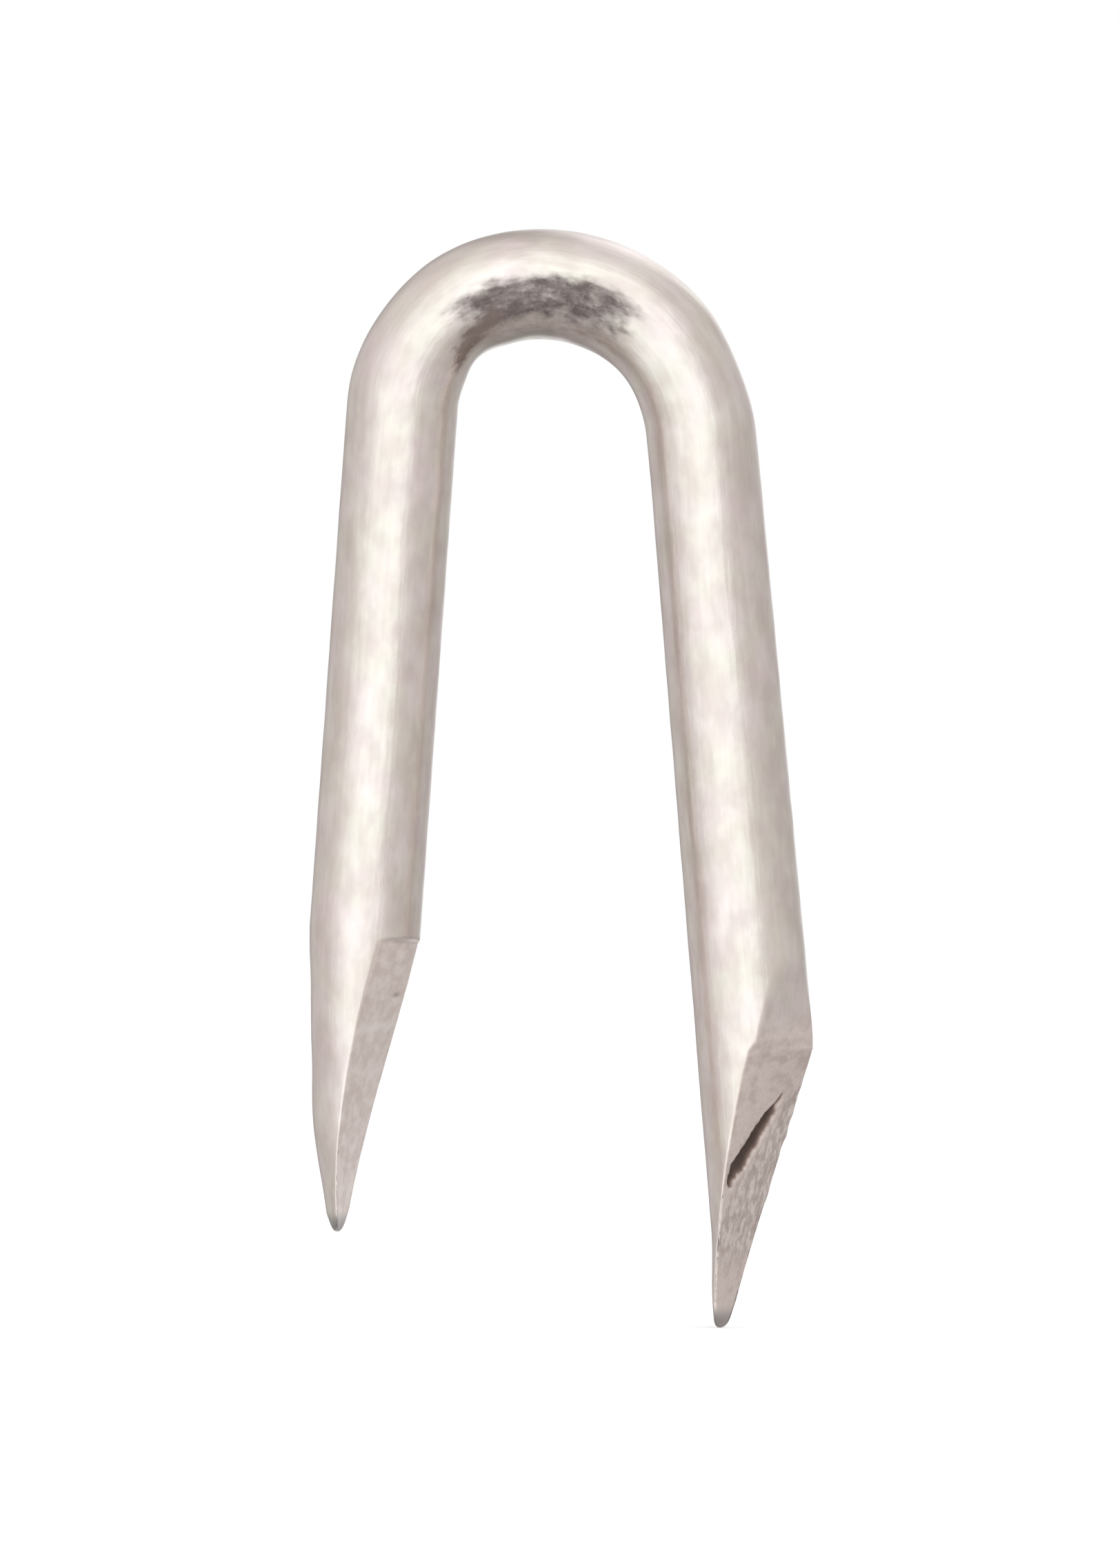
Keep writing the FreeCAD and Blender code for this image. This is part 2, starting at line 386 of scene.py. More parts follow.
def ridge_angle(along, centre, sign, least):
    """How far round from the facing direction the drawn surface is whole again, on one side."""
    low = least.copy()
    high = np.full_like(least, pi)
    for _ in range(HALVINGS):
        middle = (low + high) / 2
        theta = centre + sign * middle
        radius = drawn_radius(along, theta)
        whole = cut_room(along, radius * np.cos(theta), radius * np.sin(theta)) > 0
        high = np.where(whole, middle, high)
        low = np.where(whole, low, middle)
    return high


LEFT_LEAST = radians(48)  # half of the angle that a cut's columns always take up
RIGHT_LEAST = radians(9)
CUT_REACH = 6.5  # a cut's columns are spread evenly again beyond this height, over the next length
SPREADING_LENGTH = 6.0
DEEPEST = -0.3  # limits of the search for the surface, outwards from the chord below a cut's columns
FURTHEST = 2.5


def drawn_columns(along, centre, plus, minus):
    """Places of the columns on the drawn surface, the long way round between the cut's edges."""
    share = crowded(ARC_COLUMNS, 0.55)[None, :]
    start = (centre + plus)[:, None]
    end = (centre - minus + 2 * pi)[:, None]
    theta = start + (end - start) * share
    radius = drawn_radius(np.broadcast_to(along[:, None], theta.shape), theta)
    return radius * np.cos(theta), radius * np.sin(theta)


def cut_columns(along, centre, arc_out, arc_front):
    """Places of the columns on the cut: from the chord between its edges outwards to the surface."""
    share = crowded(FACE_COLUMNS + 2, 0.35)[None, 1:-1]
    out = arc_out[:, -1:] + (arc_out[:, :1] - arc_out[:, -1:]) * share
    front = arc_front[:, -1:] + (arc_front[:, :1] - arc_front[:, -1:]) * share
    where = np.broadcast_to(along[:, None], out.shape)
    push_out, push_front = np.cos(centre)[:, None], np.sin(centre)[:, None]
    low, high = np.full(out.shape, DEEPEST), np.full(out.shape, FURTHEST)
    for _ in range(HALVINGS):
        middle = (low + high) / 2
        kept = inside(where, out + middle * push_out, front + middle * push_front, 0.01) > 0
        low = np.where(kept, middle, low)
        high = np.where(kept, high, middle)
    return out + low * push_out, front + low * push_front


def ring_layout(along):
    """Places across the wire for every ring, (rings, columns) each: out, front."""
    centre = facing(along)
    left_cut_top = LEFT_CUT.crossing + CUT_REACH
    right_cut_top = RIGHT_CUT.crossing - CUT_REACH
    away = np.minimum(along - left_cut_top, right_cut_top - along)
    narrow = np.where(along < 0, LEFT_LEAST, RIGHT_LEAST)
    even = pi * FACE_COLUMNS / COLUMNS
    least = narrow + (even - narrow) * smooth_step(0, SPREADING_LENGTH, away)
    plus = ridge_angle(along, centre, 1, least)
    minus = ridge_angle(along, centre, -1, least)
    arc_out, arc_front = drawn_columns(along, centre, plus, minus)
    face_out, face_front = cut_columns(along, centre, arc_out, arc_front)
    return np.concatenate([arc_out, face_out], 1), np.concatenate([arc_front, face_front], 1)


SETTLING_STEPS = 6
PROBE = 0.002  # distance over which the surface's slope is felt
LEAST_STEEPNESS = 0.2


def round_edges(along, out, front):
    """Settle every vertex on the wire's surface, with the edges of the cuts rounded."""
    left_sliver = WIRE_RADIUS + left_plane(LEFT_CUT.height(along))[0]
    right_sliver = WIRE_RADIUS + right_plane(RIGHT_CUT.height(along))[0]
    sliver = np.where(along < 0, left_sliver, right_sliver)
    rounding = np.clip(0.35 * sliver, 0.02, EDGE_ROUNDING)
    for _ in range(SETTLING_STEPS):
        gap = inside(along, out, front, rounding)
        slope_out = (inside(along, out + PROBE, front, rounding) - gap) / PROBE
        slope_front = (inside(along, out, front + PROBE, rounding) - gap) / PROBE
        steepness = np.maximum(slope_out ** 2 + slope_front ** 2, LEAST_STEEPNESS)
        out = out - gap * slope_out / steepness
        front = front - gap * slope_front / steepness
    return out, front


along_rings = ring_places()
layout_out, layout_front = ring_layout(along_rings)
along_grid = np.broadcast_to(along_rings[:, None], layout_out.shape)
out_grid, front_grid = round_edges(along_grid, layout_out, layout_front)


# ---------------------------------------------------------------- places and marks

def to_space(along, out, front):
    """Points in the frame's XYZ for places on the wire."""
    points, outward = path(along.ravel())
    points = points.reshape(*along.shape, 2)
    outward = outward.reshape(*along.shape, 2)
    return np.stack([
        points[..., 0] + out * outward[..., 0],
        -front,
        points[..., 1] + out * outward[..., 1],
    ], -1)


def grid_normals(points):
    """Outward normals of a closed tube of rings."""
    around = np.roll(points, -1, 1) - np.roll(points, 1, 1)
    onward = np.gradient(points, axis=0)
    normals = np.cross(around, onward)
    normals /= np.maximum(np.linalg.norm(normals, axis=-1, keepdims=True), 1e-9)
    return normals


def ripple(points, size):
    """Smooth noise from about -1 to 1 at these points, with lumps of about this size."""
    flat = (points / size).reshape(-1, 3)
    values = np.array([noise.noise(Vector(point)) for point in flat])
    return values.reshape(points.shape[:-1])


def face_place(cut, along, out, front):
    """Place on a cut face: distance across it towards the back, and height above its crossing."""
    height = cut.height(along)
    direction = cut.direction(cut.facets[-1].plane(height)[1])
    towards_back = 1 if cut.side == "right" else -1
    across = (out * np.sin(direction) - front * np.cos(direction)) * towards_back
    return across, height


def line_distance(x, y, start, end):
    """Signed distance from a line, and how far along it, 0 to 1."""
    run = np.array(end) - np.array(start)
    length = np.hypot(*run)
    run = run / length
    share = ((x - start[0]) * run[0] + (y - start[1]) * run[1]) / length
    side = (x - start[0]) * run[1] - (y - start[1]) * run[0]
    return side, share


CRACK = [  # from its upper end to the hook at its lower end: across, height and half width
    (0.90, 1.40, 0.0),
    (0.42, 0.78, 0.20),
    (-0.20, 0.0, 0.32),
    (-0.85, -0.82, 0.34),
    (-1.22, -1.06, 0.30),
    (-1.34, -1.52, 0.16),
]


TORN_SOFTNESS = 0.38  # width over which the crack's edge fades


def tear(across, height, start, end):
    """0 to 1: one stretch of a tear with two walls, which may widen or narrow along it."""
    share = np.clip(line_distance(across, height, start[:2], end[:2])[1], 0, 1)
    off_across = across - start[0] - share * (end[0] - start[0])
    off_height = height - start[1] - share * (end[1] - start[1])
    width = start[2] + share * (end[2] - start[2])
    return smooth_step(0, 1, (width - np.hypot(off_across, off_height)) / TORN_SOFTNESS + 0.5)


def right_face_marks(points, along, out, front, wander):
    """The crack with its lifted lip, and the broken face below it."""
    across, height = face_place(RIGHT_CUT, along, out, front)
    torn_edge = 0.17 * wander + 0.11 * ripple(points, 0.2)
    crack = 0 * along
    for start, end in zip(CRACK, CRACK[1:]):
        crack = np.maximum(crack, tear(across + torn_edge, height, start, end))
    side, share = line_distance(across, height, CRACK[0][:2], CRACK[3][:2])
    lip = bump(side, -CRACK[2][2] - 0.16, 0.2) * bump(share, 0.5, 0.6)
    fracture = smooth_step(-0.2, -0.8, side + 0.3 * wander) * smooth_step(-5.2, -3.5, height)
    return {"crack": crack, "lip": lip * (1 - crack), "fracture": fracture}


def left_face_marks(along, out, front, wander):
    """A light band across the left face, and a small dark spot above it."""
    across, height = face_place(LEFT_CUT, along, out, front)
    light_band = bump(height + 0.12 * wander, 1.9, 0.28) * smooth_step(1.9, 1.2, np.abs(across))
    dark_spot = bump(height, 3.1, 0.16) * bump(across, 1.0, 0.5)
    return {"light_band": light_band, "dark_spot": dark_spot}


def crown_marks(along, theta):
    """The dark patch pressed into the crown's front, a brown band below it that is painted shade on
    the crown's downward-facing front, and a darker streak down the left shoulder.
    """
    patch_length = smooth_step(4.6, 2.0, np.abs(along - 0.1))
    patch_width = smooth_step(72, 92, theta) * smooth_step(142, 114, theta)
    # Brown band below the pressed patch: a brown tone darkened as painted shade where the crown's
    # front faces down.
    shade_band_length = smooth_step(5.6, 3.0, np.abs(along + 0.2))
    shade_band_width = smooth_step(104, 120, theta) * smooth_step(160, 140, theta)
    # A darker streak down the inner front of the left shoulder, below the pressed patch's left end.
    left_streak_length = smooth_step(-6.4, -4.0, along) * smooth_step(0.0, -3.0, along)
    left_streak_width = bump(theta, 118 - 7 * (along + 2.0), 26)
    return {
        "pressed": patch_length * patch_width,
        "brown": shade_band_length * shade_band_width,
        "scuffed": left_streak_length * left_streak_width,
    }


def marks(points, along, out, front):
    """Shares from 0 to 1 of every kind of mark at these places, by name."""
    wander = ripple(points, 0.45)
    bared = smooth_step(4.9, 3.1, RIGHT_CUT.height(along) + 0.5 * wander)
    cut_face = smooth_step(0.07, 0.01, cut_room(along, out, front)) * np.where(along > 0, bared, 1)
    right = (along > 0) * cut_face
    left = (along < 0) * cut_face
    shares = {"cut_face": cut_face, "left_face": left}
    for name, share in left_face_marks(along, out, front, wander).items():
        shares[name] = left * share
    for name, share in right_face_marks(points, along, out, front, wander).items():
        shares[name] = right * share
    shares.update(crown_marks(along, np.degrees(np.arctan2(front, out))))
    return shares


CRACK_DEPTH = 0.28
LIP_HEIGHT = 0.03
PATCH_DEPTH = 0.04
LINE_SPACING = 0.34  # of the fine lines across the pressed patch
LINE_HEIGHT = 0.008


def relief(points, along, mark):
    """How far the surface stands out from the plain wire, in mm."""
    drawn = 1 - mark["cut_face"]
    waves = 0.010 * ripple(points, 1.6) + 0.004 * ripple(points, 0.55)
    cross_lines = LINE_HEIGHT * np.sin(along * 2 * pi / LINE_SPACING + 2.0 * ripple(points, 0.8))
    broken = 0.050 * ripple(points, 0.55) + 0.022 * ripple(points + 5, 0.24)
    sheared = 0.010 * ripple(points, 0.6)
    return (
        drawn * waves
        + mark["cut_face"] * sheared
        + mark["pressed"] * (cross_lines - PATCH_DEPTH)
        + mark["fracture"] * broken
        + LIP_HEIGHT * mark["lip"]
        - CRACK_DEPTH * mark["crack"]
    )


# ---------------------------------------------------------------- mesh

def tube_faces(rings, columns):
    """Quads between neighbouring rings. Like the fans at the tips, they are wound to face inwards."""
    ring = (np.arange(rings - 1) * columns)[:, None]
    here = np.arange(columns)[None, :]
    after = (here + 1) % columns
    quads = [ring + here, ring + columns + here, ring + columns + after, ring + after]
    return np.stack(np.broadcast_arrays(*quads), -1).reshape(-1, 4)


NOSE_RINGS = 14
LEFT_TAPER = 0.6  # share of the width lost along each nose
RIGHT_TAPER = 0.45
RELIEF_FADE = 12  # rings over which the relief dies out towards each end


def nose_rings(ring, inner, tip_z, taper):
    """Rings and tip that close a point, tapered as seen from the front and rounded in depth."""
    middle = ring.mean(0)
    onward = middle - inner.mean(0)
    onward = onward / np.linalg.norm(onward)
    length = (tip_z - middle[2]) / onward[2]
    rings = []
    for number in range(1, NOSE_RINGS):
        share = 1 - (1 - number / NOSE_RINGS) ** 1.5
        narrow = (1 - taper * share) * (1 - share ** 8) ** 0.5
        shallow = (1 - share ** 2) ** 0.75
        rings.append(middle + onward * length * share + (ring - middle) * [narrow, shallow, narrow])
    return np.array(rings), middle + onward * length


def staple_points():
    """Vertices of the whole wire as rings, the two tips, and the marks of the tube's vertices."""
    points = to_space(along_grid, out_grid, front_grid)
    mark = marks(points, along_grid, out_grid, front_grid)
    number = np.arange(len(points))
    fade = smooth_step(0, RELIEF_FADE, np.minimum(number, number[::-1]))
    height = relief(points, along_grid, mark) * fade[:, None]
    points = points + grid_normals(points) * height[..., None]
    left_nose, left_tip = nose_rings(points[0], points[3], point_height("left"), LEFT_TAPER)
    right_nose, right_tip = nose_rings(points[-1], points[-4], point_height("right"), RIGHT_TAPER)
    rings = np.concatenate([left_nose[::-1], points, right_nose])
    return rings, left_tip, right_tip, mark


def with_noses(values):
    """Repeat a mark of the tube's end rings over the noses."""
    count = NOSE_RINGS - 1
    first = np.repeat(values[:1], count, 0)
    last = np.repeat(values[-1:], count, 0)
    return np.concatenate([first, values, last])


def point_mark(rings):
    """1 on the very points, falling to 0 above them."""
    tip_z = np.where(rings[..., 0] < 0, point_height("left"), point_height("right"))
    return smooth_step(0.85, 0.25, rings[..., 2] - tip_z)


def add_mark(mesh, name, grid):
    """Store one number per vertex. Each tip takes the mean of its end ring."""
    flat = np.concatenate([grid.ravel(), [grid[0].mean(), grid[-1].mean()]])
    attribute = mesh.attributes.new(name, "FLOAT", "POINT")
    attribute.data.foreach_set("value", flat.astype(np.float32))


TEXTURE_STRIPS = 3
TEXTURE_GUTTER = 0.006


def lay_out_texture(mesh, rings, columns):
    """Texture places: the tube unrolled, and cut across into strips laid side by side.

    Loops come in the order the faces were made: the quads, then the fans at the left and right tips.
    """
    ring = np.repeat(np.arange(rings - 1), columns)[:, None]
    column = np.tile(np.arange(columns), rings - 1)[:, None]
    side = np.arange(columns)[:, None]
    strip_rows = -(-(rings - 1) // TEXTURE_STRIPS)
    none = 0 * side
    last_strip = none + TEXTURE_STRIPS - 1
    row = [ring + [0, 1, 1, 0], none + [-1, 0, 0], none + [rings, rings - 1, rings - 1]]
    across = [column + [0, 0, 1, 1], side + [0.5, 0, 1], side + [0.5, 1, 0]]
    strip = [ring // strip_rows + [0, 0, 0, 0], none + [0, 0, 0], last_strip + [0, 0, 0]]
    row = np.concatenate([part.ravel() for part in row])
    across = np.concatenate([part.ravel() for part in across])
    strip = np.concatenate([part.ravel() for part in strip])
    share_up = (row - strip * strip_rows + 1) / (strip_rows + 2)
    share_across = TEXTURE_GUTTER + across / columns * (1 - 2 * TEXTURE_GUTTER * TEXTURE_STRIPS)
    u = (strip + share_across) / TEXTURE_STRIPS
    v = TEXTURE_GUTTER + share_up * (1 - 2 * TEXTURE_GUTTER)
    layer = mesh.uv_layers.new(name="OFBake")
    layer.data.foreach_set("uv", np.stack([u, v], 1).ravel().astype(np.float32))


def staple():
    rings, left_tip, right_tip, mark = staple_points()
    count, columns = rings.shape[:2]
    vertices = np.concatenate([rings.reshape(-1, 3), [left_tip, right_tip]]) * MM
    quads = tube_faces(count, columns).tolist()
    first_tip = count * columns
    last = (count - 1) * columns
    left_fan = [(first_tip, i, (i + 1) % columns) for i in range(columns)]
    right_fan = [(first_tip + 1, last + (i + 1) % columns, last + i) for i in range(columns)]
    mesh = bpy.data.meshes.new("staple_body")
    mesh.from_pydata(vertices.tolist(), [], quads + left_fan + right_fan)
    mesh.shade_smooth()
    lay_out_texture(mesh, count, columns)
    mark.update(along=along_grid, out=out_grid, front=front_grid)
    for name, values in mark.items():
        add_mark(mesh, name, with_noses(values))
    add_mark(mesh, "point", point_mark(rings))
    mesh.update()
    piece = bpy.data.objects.new("staple_body", mesh)
    bpy.context.scene.collection.objects.link(piece)
    return piece


# ---------------------------------------------------------------- materials

class Shader:
    """Short calls for building a node tree."""

    def __init__(self, tree):
        self.tree = tree
        self.tree.nodes.clear()

    def node(self, kind, **settings):
        node = self.tree.nodes.new(kind)
        for name, value in settings.items():
            setattr(node, name, value)
        return node

    def feed(self, node, name, value):
        socket = node.inputs[name]
        if isinstance(value, bpy.types.NodeSocket):
            self.tree.links.new(value, socket)
        else:
            socket.default_value = value

    def math(self, operation, first, second):
        node = self.node("ShaderNodeMath", operation=operation)
        self.feed(node, 0, first)
        self.feed(node, 1, second)
        return node.outputs[0]

    def add(self, first, second):
        return self.math("ADD", first, second)

    def times(self, first, second):
        return self.math("MULTIPLY", first, second)

    def step(self, value, low, high, bottom=0.0, top=1.0):
        node = self.node("ShaderNodeMapRange", interpolation_type="SMOOTHSTEP")
        names = ["Value", "From Min", "From Max", "To Min", "To Max"]
        for name, number in zip(names, [value, low, high, bottom, top]):
            self.feed(node, name, number)
        return node.outputs[0]

    def mix(self, factor, first, second):
        node = self.node("ShaderNodeMix", data_type="RGBA")
        self.feed(node, 0, factor)
        self.feed(node, 6, first)
        self.feed(node, 7, second)
        return node.outputs[2]

    def blend(self, factor, first, second):
        node = self.node("ShaderNodeMix", data_type="FLOAT")
        self.feed(node, 0, factor)
        self.feed(node, 2, first)
        self.feed(node, 3, second)
        return node.outputs[0]

    def dot(self, first, second):
        node = self.node("ShaderNodeVectorMath", operation="DOT_PRODUCT")
        self.feed(node, 0, first)
        self.feed(node, 1, second)
        return node.outputs["Value"]

    def tint(self, value, colour):
        node = self.node("ShaderNodeVectorMath", operation="SCALE")
        self.feed(node, 0, colour)
        self.feed(node, "Scale", value)
        return node.outputs[0]

    def sum(self, vectors):
        total = vectors[0]
        for vector in vectors[1:]:
            node = self.node("ShaderNodeVectorMath", operation="ADD")
            self.feed(node, 0, total)
            self.feed(node, 1, vector)
            total = node.outputs[0]
        return total

    def mark(self, name):
        return self.node("ShaderNodeAttribute", attribute_name=name).outputs["Fac"]

    def vector(self, x, y, z):
        node = self.node("ShaderNodeCombineXYZ")
        for number, value in enumerate([x, y, z]):
            self.feed(node, number, value)
        return node.outputs[0]

    def noise(self, across, onward, scale, detail, roughness):
        """Noise on the wire. Its lumps shrink by these factors across the wire and onward along it."""
        place = self.vector(
            self.times(self.mark("out"), across),
            self.times(self.mark("front"), across),
            self.times(self.mark("along"), onward),
        )
        node = self.node("ShaderNodeTexNoise")
        values = {"Vector": place, "Scale": scale, "Detail": detail, "Roughness": roughness}
        for name, value in values.items():
            self.feed(node, name, value)
        return node.outputs["Fac"]

    def frayed(self, mark, unevenness, low, high):
        """A mark with its edges broken up by noise, and nothing away from it."""
        return self.times(self.step(mark, 0.0, 0.2), self.step(self.add(mark, unevenness), low, high))


def grey(value):
    return (value, value, value, 1.0)


def wire_noises(s):
    """The noises that the wire's colours, roughness and bump share, by name."""
    return {
        "broad": s.noise(1.0, 1.0, 0.55, 2.0, 0.6),
        "mottle": s.noise(1.0, 0.5, 2.2, 2.0, 0.5),
        "speckle": s.noise(1.0, 1.0, 6.5, 2.0, 0.6),
        "grain": s.noise(6.0, 0.4, 1.0, 2.0, 0.5),
        "smear": s.noise(2.4, 1.1, 1.6, 3.0, 0.65),
        "stain": s.noise(1.0, 0.6, 1.1, 2.5, 0.5),
        "blotch": s.noise(1.0, 1.5, 1.3, 3.0, 0.6),
        "streak": s.noise(1.5, 0.8, 1.6, 2.0, 0.5),
    }


def zinc_colour(s, noises):
    """Zinc with warm and cool areas, dull mottling and grain, and faint darker and lighter stains."""
    warm, cool = (0.745, 0.657, 0.635, 1.0), (0.718, 0.680, 0.603, 1.0)
    dull = (0.58, 0.520, 0.493, 1.0)
    dark, light = (0.57, 0.485, 0.445, 1.0), (0.79, 0.73, 0.70, 1.0)
    zinc = s.mix(s.step(noises["broad"], 0.35, 0.65), warm, cool)
    zinc = s.mix(s.times(s.step(noises["mottle"], 0.35, 0.75), 0.45), zinc, dull)
    zinc = s.mix(s.times(s.step(noises["grain"], 0.35, 0.75), 0.30), zinc, dull)
    zinc = s.mix(s.times(s.step(noises["stain"], 0.42, 0.72), 0.45), zinc, dark)
    return s.mix(s.times(s.step(noises["stain"], 0.48, 0.26), 0.5), zinc, light)


def left_face_colour(s, noises):
    light, dark = (0.96, 0.875, 0.83, 1.0), (0.80, 0.70, 0.655, 1.0)
    bare = s.mix(s.step(noises["blotch"], 0.30, 0.70), light, dark)
    bare = s.mix(s.times(s.mark("light_band"), 0.6), bare, (0.98, 0.93, 0.90, 1.0))
    return s.mix(s.times(s.mark("dark_spot"), 0.7), bare, (0.36, 0.30, 0.27, 1.0))


def right_face_colour(s, noises):
    """Bare steel, smooth above the crack and broken below it."""
    light, dark = (0.82, 0.725, 0.680, 1.0), (0.76, 0.660, 0.615, 1.0)
    bare = s.mix(s.step(noises["speckle"], 0.35, 0.7), light, dark)
    bare = s.mix(s.times(s.step(noises["blotch"], 0.45, 0.7), 0.55), bare, (0.56, 0.46, 0.42, 1.0))
    light, dark = (0.90, 0.82, 0.77, 1.0), (0.45, 0.38, 0.35, 1.0)
    broken = s.mix(s.step(noises["smear"], 0.38, 0.62), light, dark)
    return s.mix(s.times(s.mark("fracture"), 0.55), bare, broken)


def ragged_patch(s, noises):
    """How much of the crown's pressed patch shows, with ragged ends."""
    fine = s.times(s.add(noises["smear"], -0.5), 0.6)
    coarse = s.times(s.add(noises["streak"], -0.5), 1.4)
    return s.frayed(s.mark("pressed"), s.add(fine, coarse), 0.0, 1.1)


def with_crown_marks(s, noises, colour, patch):
    """A colour with the crown's brown painted-shade band, dark pressed patch and darker left streak
    over it.
    """
    # Painted shade: the brown band darkens the crown's downward-facing front.
    brown = s.times(s.mark("brown"), s.step(noises["smear"], 0.2, 0.7, 0.9, 0.35))
    colour = s.mix(brown, colour, (0.40, 0.325, 0.29, 1.0))
    light, dark = (0.22, 0.185, 0.175, 1.0), (0.135, 0.109, 0.104, 1.0)
    pressed = s.mix(s.step(noises["smear"], 0.32, 0.66), light, dark)
    flecks = s.times(s.step(noises["speckle"], 0.5, 0.8), 0.5)
    pressed = s.mix(flecks, pressed, (0.33, 0.288, 0.274, 1.0))
    colour = s.mix(patch, colour, pressed)
    # The darker streak down the left shoulder, with frayed edges.
    unevenness = s.times(s.add(noises["smear"], -0.5), 1.9)
    left_streak = s.frayed(s.mark("scuffed"), unevenness, 0.35, 0.95)
    return s.mix(s.times(left_streak, 0.85), colour, (0.26, 0.200, 0.180, 1.0))


def with_crack(s, noises, colour, crack):
    # Painted shade: the crack's torn steel darkens to near black towards its bottom, where shade falls
    # in the recess.
    edge, bottom = (0.27, 0.190, 0.160, 1.0), (0.062, 0.036, 0.027, 1.0)
    painted_crack_shade = s.mix(s.step(crack, 0.15, 0.80), edge, bottom)
    unevenness = s.times(s.add(noises["speckle"], -0.5), 0.25)
    return s.mix(s.frayed(crack, unevenness, 0.0, 0.45), colour, painted_crack_shade)


def fine_bump(s, noises):
    """Normal of the zinc's finest unevenness."""
    finest = s.times(noises["speckle"], 0.2)
    height = s.add(s.times(noises["grain"], 0.5), s.add(s.times(noises["mottle"], 0.6), finest))
    bump = s.node("ShaderNodeBump")
    s.feed(bump, "Strength", 0.5)
    s.feed(bump, "Distance", 0.03 * MM)
    s.feed(bump, "Height", height)
    return bump.outputs[0]


def zinc_material():
    """Galvanised steel: satin zinc with grain and mottling, and duller bare steel on the cuts."""
    material = bpy.data.materials.new("zinc_coated_steel")
    material.use_nodes = True
    s = Shader(material.node_tree)
    noises = wire_noises(s)
    cut_face, crack = s.mark("cut_face"), s.mark("crack")
    patch = ragged_patch(s, noises)

    # The broken face is on the right point only, so the left face's colour may come last.
    bare = s.mix(s.mark("left_face"), right_face_colour(s, noises), left_face_colour(s, noises))
    colour = s.mix(cut_face, zinc_colour(s, noises), bare)
    colour = with_crown_marks(s, noises, colour, patch)
    colour = s.mix(s.times(s.mark("point"), 0.65), colour, grey(0.22))
    colour = with_crack(s, noises, colour, crack)

    roughness = s.blend(noises["mottle"], 0.22, 0.40)
    roughness = s.blend(cut_face, roughness, 0.45)
    roughness = s.blend(patch, roughness, 0.5)

    surface = s.node("ShaderNodeBsdfPrincipled")
    s.feed(surface, "Base Color", colour)
    s.feed(surface, "Metallic", s.step(crack, 0.3, 0.7, 1.0, 0.2))
    s.feed(surface, "Roughness", roughness)
    s.feed(surface, "Normal", fine_bump(s, noises))
    output = s.node("ShaderNodeOutputMaterial")
    s.feed(output, "Surface", surface.outputs[0])
    return material


def floor_material():
    """Pale matt floor, seen by the camera only: the metal mirrors the light tent below it instead."""
    material = bpy.data.materials.new("pale_floor")
    material.use_nodes = True
    s = Shader(material.node_tree)
    seen = s.node("ShaderNodeLightPath").outputs["Is Camera Ray"]
    surface = s.node("ShaderNodeBsdfPrincipled")
    s.feed(surface, "Base Color", grey(0.90))
    s.feed(surface, "Roughness", 0.9)
    s.feed(surface, "Specular IOR Level", 0.0)
    s.feed(surface, "Emission Color", grey(1.0))
    s.feed(surface, "Emission Strength", 0.20)
    clear = s.node("ShaderNodeBsdfTransparent")
    either = s.node("ShaderNodeMixShader")
    s.feed(either, 0, seen)
    s.feed(either, 1, clear.outputs[0])
    s.feed(either, 2, surface.outputs[0])
    output = s.node("ShaderNodeOutputMaterial")
    s.feed(output, "Surface", either.outputs[0])
    return material


# ---------------------------------------------------------------- light, floor and camera

class Softbox:
    """A soft bright patch of the light tent, placed by the direction it is seen in.

    Each side is a pair of angles from the middle, in degrees: where it starts to fade, where it ends.
    """

    def __init__(self, azimuth, elevation, roll, left, right, down, up):
        away, lift, turn = radians(azimuth), radians(elevation), radians(roll)
        self.ahead = Vector((sin(away) * cos(lift), -cos(away) * cos(lift), sin(lift)))
        level = Vector((cos(away), sin(away), 0))
        rise = level.cross(self.ahead)
        if rise.z < 0:
            rise = -rise
        self.across = cos(turn) * level + sin(turn) * rise
        self.upward = cos(turn) * rise - sin(turn) * level
        self.sides = [(self.across, left, right), (self.upward, down, up)]

    def share(self, s, direction):
        """0 outside, 1 in the middle, for the direction of a ray."""
        total = 1.0
        ahead = s.dot(direction, self.ahead)
        for axis, before, after in self.sides:
            angle = s.math("ARCTAN2", s.dot(direction, axis), ahead)
            rising = s.step(angle, -radians(before[1]), -radians(before[0]))
            falling = s.step(angle, radians(after[0]), radians(after[1]), 1.0, 0.0)
            total = s.times(total, s.times(rising, falling))
        return total


KEY = Softbox(-13.9, 4.3, -24.5, left=(2, 80), right=(27, 50), down=(55, 75), up=(53, 79))
BACK = Softbox(168, 12, 15, left=(5, 22), right=(5, 22), down=(35, 65), up=(35, 65))
BACK_SHADE = Softbox(180, 0, 0, left=(16, 36), right=(16, 36), down=(60, 85), up=(60, 85))


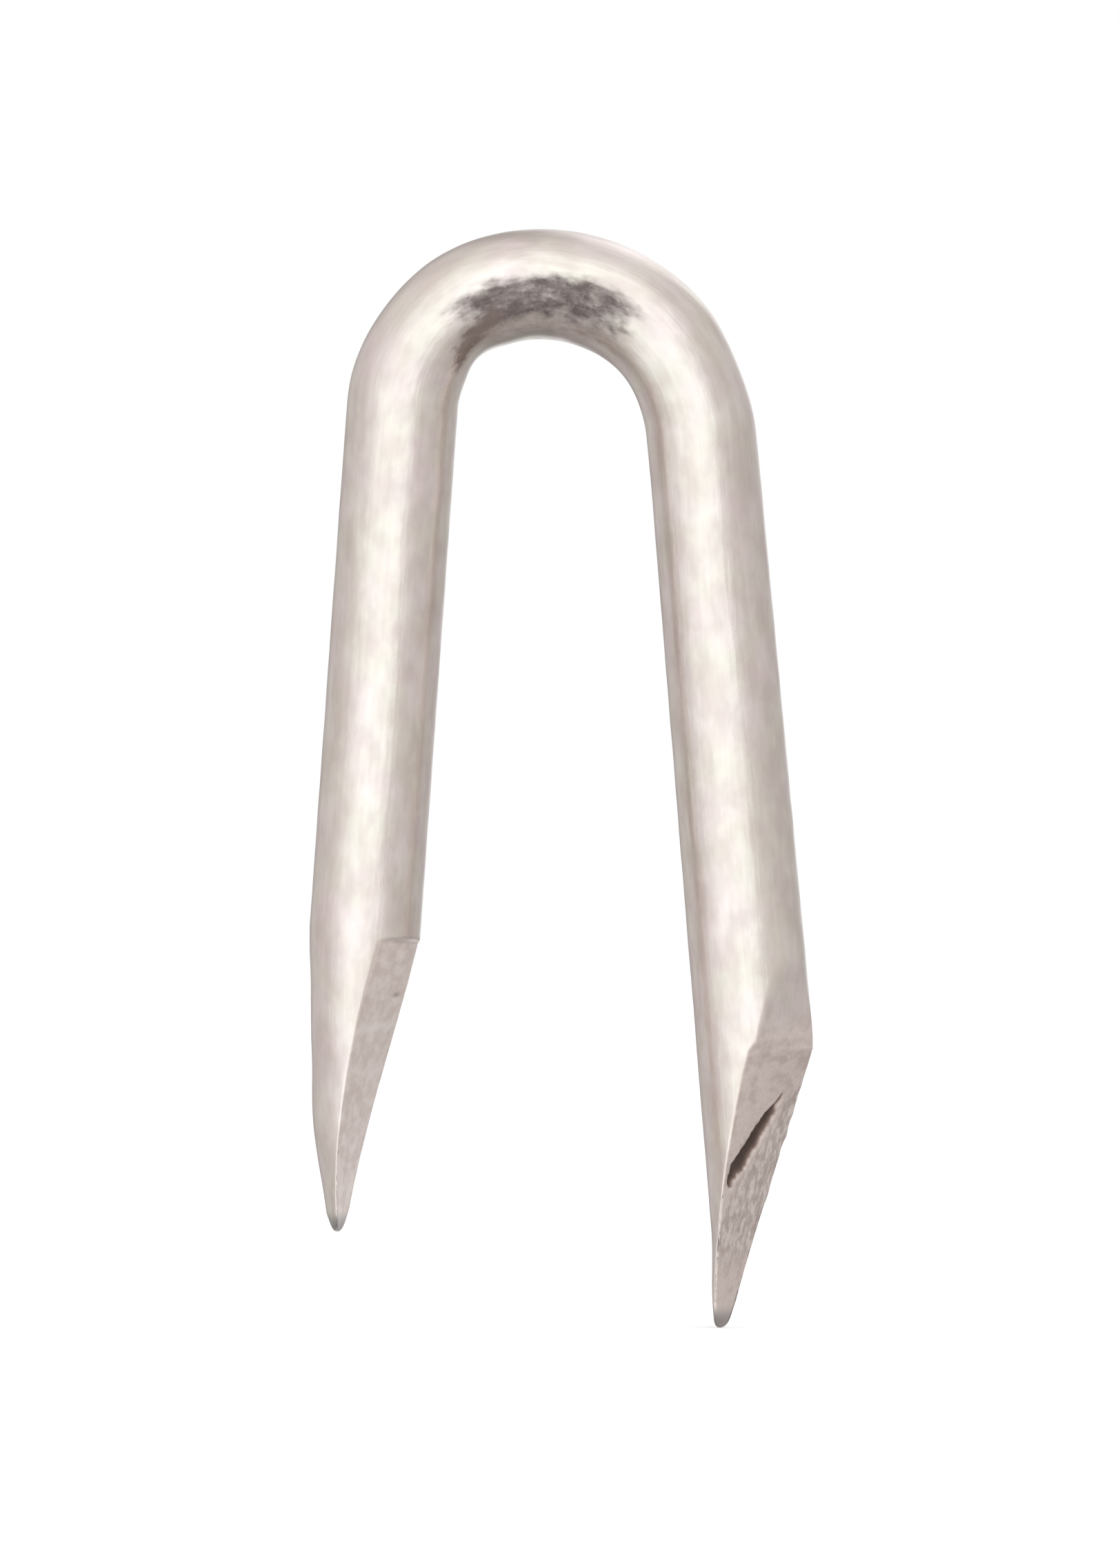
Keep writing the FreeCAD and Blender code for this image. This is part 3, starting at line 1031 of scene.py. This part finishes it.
def light_tent():
    """White background, and around the object a bright tent with one large softbox in front of it."""
    world = bpy.data.worlds.new("light_tent")
    bpy.context.scene.world = world
    world.use_nodes = True
    s = Shader(world.node_tree)
    direction = s.node("ShaderNodeTexCoord").outputs["Generated"]
    slope = s.dot(direction, Vector((-0.058, -0.144, 0.191)))
    tent = s.tint(s.add(0.775, slope), (1.0, 0.972, 0.966))
    key = s.tint(s.times(KEY.share(s, direction), 0.54), (1.0, 1.13, 1.16))
    back = s.tint(s.times(BACK.share(s, direction), 0.80), (1.0, 1.05, 1.08))
    shade = s.tint(s.times(BACK_SHADE.share(s, direction), -0.24), (1.0, 1.0, 1.0))
    light = s.sum([tent, key, back, shade])
    seen = s.node("ShaderNodeLightPath").outputs["Is Camera Ray"]
    background = s.node("ShaderNodeBackground")
    s.feed(background, "Color", s.mix(seen, light, grey(1.0)))
    output = s.node("ShaderNodeOutputWorld")
    s.feed(output, "Surface", background.outputs[0])


def floor(level):
    size = 0.9
    corners = [(-size, -size, level), (size, -size, level), (size, size, level), (-size, size, level)]
    mesh = bpy.data.meshes.new("floor")
    mesh.from_pydata(corners, [], [(0, 1, 2, 3)])
    mesh.materials.append(floor_material())
    plane = bpy.data.objects.new("floor", mesh)
    bpy.context.scene.collection.objects.link(plane)
    plane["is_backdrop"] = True


FRAME_HEIGHT = 56.85 * MM  # seen by the camera at the object
CAMERA_DISTANCE = 0.6
AIM_SHIFT = Vector((0.22, 0, -0.24)) * MM  # from the middle of the object to the middle of the picture


def camera(middle):
    """Level with the object and square to the U, from in front."""
    data = bpy.data.cameras.new("camera")
    data.lens = data.sensor_width * CAMERA_DISTANCE / FRAME_HEIGHT
    data.clip_start = 0.01
    eye = bpy.data.objects.new("camera", data)
    eye.location = middle + AIM_SHIFT + Vector((0, -CAMERA_DISTANCE, 0))
    eye.rotation_euler = (pi / 2, 0, 0)
    bpy.context.scene.collection.objects.link(eye)
    bpy.context.scene.camera = eye


piece = staple()
piece.data.materials.append(zinc_material())
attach(piece, "root")
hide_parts(NODE)

light_tent()
floor(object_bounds()[0].z)
camera((cad_low + cad_high) / 2)
bpy.context.scene.view_settings.view_transform = "Standard"
